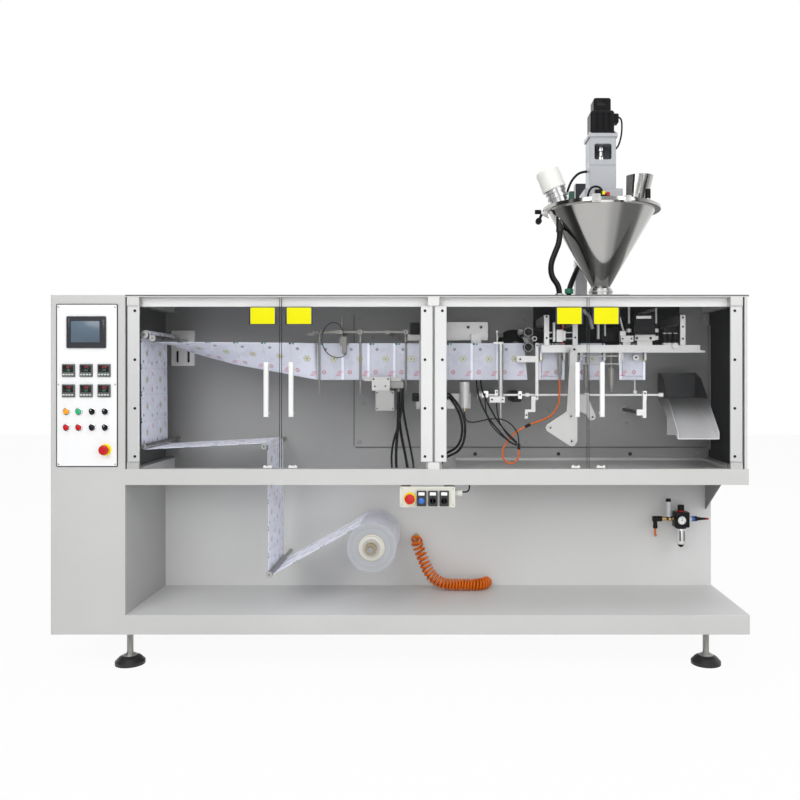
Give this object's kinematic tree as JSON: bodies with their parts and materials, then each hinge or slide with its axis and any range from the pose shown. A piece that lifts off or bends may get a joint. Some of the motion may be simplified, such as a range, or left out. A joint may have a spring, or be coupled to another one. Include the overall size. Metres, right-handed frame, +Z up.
{
  "type": "sachet packing machine",
  "caption": "Long horizontal form, fill and seal machine: control cabinet, film reel, folding and sealing bay behind clear doors, and an auger filler with a cone hopper.",
  "frame": {"origin": "floor level at the centre of the machine's footprint", "axes": "+X from the control cabinet to the delivery end, +Y from the doors to the rear covers, +Z up"},
  "size_m": [2.66, 0.9455, 2.228],
  "materials": {
    "body_paint": "satin light grey paint",
    "back_paint": "satin mid grey paint",
    "dark_wall": "dark satin paint",
    "white_panel": "white satin paint",
    "grey_paint": "light grey paint",
    "black_paint": "black satin paint",
    "aluminium": "matt anodised",
    "brushed_steel": "brushed",
    "polished_steel": "polished stainless steel",
    "rubber_foot": "black rubber and steel stem",
    "rubber_roller": "black rubber",
    "screen_case": "dark grey case",
    "black_plastic": "black",
    "grey_plastic": "grey",
    "button_plastic": "coloured caps",
    "film": "white packing film with a small printed pattern",
    "clear_leaf": "clear acrylic",
    "orange_hose": "orange polyurethane",
    "black_hose": "black",
    "brass_fitting": "plain"
  },
  "bodies": {
    "root": {"agitator_drive": "brushed_steel", "air_cylinders": "aluminium", "air_line": "black_hose", "air_regulator": "grey_plastic", "auger_column": "brushed_steel", "back_panel": "back_paint", "base_plinth": "body_paint", "cam_shaft": "brushed_steel", "control_cabinet": "body_paint", "control_panel": "white_panel", "cross_members": "body_paint", "discharge_chute": "brushed_steel", "door_frame": "body_paint", "door_pivots": "aluminium", "feed_funnel": "polished_steel", "feed_rollers": "rubber_roller", "filler_hose_front": "black_hose", "filler_hose_rear": "black_hose", "filler_stand": "brushed_steel", "film_fold": "film", "film_guide_rods": "brushed_steel", "film_web_flat": "film", "film_web_upright": "film", "floor_tray": "brushed_steel", "gripper_hose": "orange_hose", "gripper_rail": "brushed_steel", "guide_rollers": "brushed_steel", "hopper_cone": "polished_steel", "hopper_lid": "polished_steel", "hose_fittings": "brass_fitting", "levelling_feet": "rubber_foot", "middle_beam": "body_paint", "mounting_plate": "back_paint", "pendant_station": "grey_plastic", "punch_cable_left": "black_hose", "punch_cable_right": "black_hose", "punch_unit": "brushed_steel", "push_buttons": "button_plastic", "rear_covers": "body_paint", "rear_housing": "body_paint", "roof_plate": "body_paint", "sachet_band": "film", "servo_motor": "black_paint", "side_wall": "dark_wall", "spiral_hose": "orange_hose", "station_brackets": "brushed_steel", "swing_plates": "grey_paint", "temperature_controllers": "black_plastic", "touch_screen": "screen_case", "valve_cluster": "black_plastic"},
    "reel": {"film_reel": "film", "reel_hub": "brushed_steel"},
    "door_1": {"door_1_stile": "aluminium", "door_1_leaf": "clear_leaf"},
    "door_2": {"door_2_stile": "aluminium", "door_2_leaf": "clear_leaf"},
    "door_3": {"door_3_stile": "aluminium", "door_3_leaf": "clear_leaf"},
    "door_4": {"door_4_stile": "aluminium", "door_4_leaf": "clear_leaf"}
  },
  "joints": [
    {"name": "door_1_hinge", "type": "hinge", "parent": "root", "child": "door_1", "pos_m": [-1.032, -0.42025, 0.79], "axis": [0, 0, -1], "range_deg": [0, 105]},
    {"name": "door_2_hinge", "type": "hinge", "parent": "root", "child": "door_2", "pos_m": [0.1165, -0.42025, 0.79], "axis": [0, 0, 1], "range_deg": [0, 80]},
    {"name": "door_3_hinge", "type": "hinge", "parent": "root", "child": "door_3", "pos_m": [0.1375, -0.42025, 0.79], "axis": [0, 0, -1], "range_deg": [0, 80]},
    {"name": "door_4_hinge", "type": "hinge", "parent": "root", "child": "door_4", "pos_m": [1.295, -0.42025, 0.79], "axis": [0, 0, 1], "range_deg": [0, 105]},
    {"name": "reel_spin", "type": "hinge", "parent": "root", "child": "reel", "pos_m": [-0.113, -0.23725, 0.457], "axis": [0, 1, 0], "continuous": true}
  ]
}
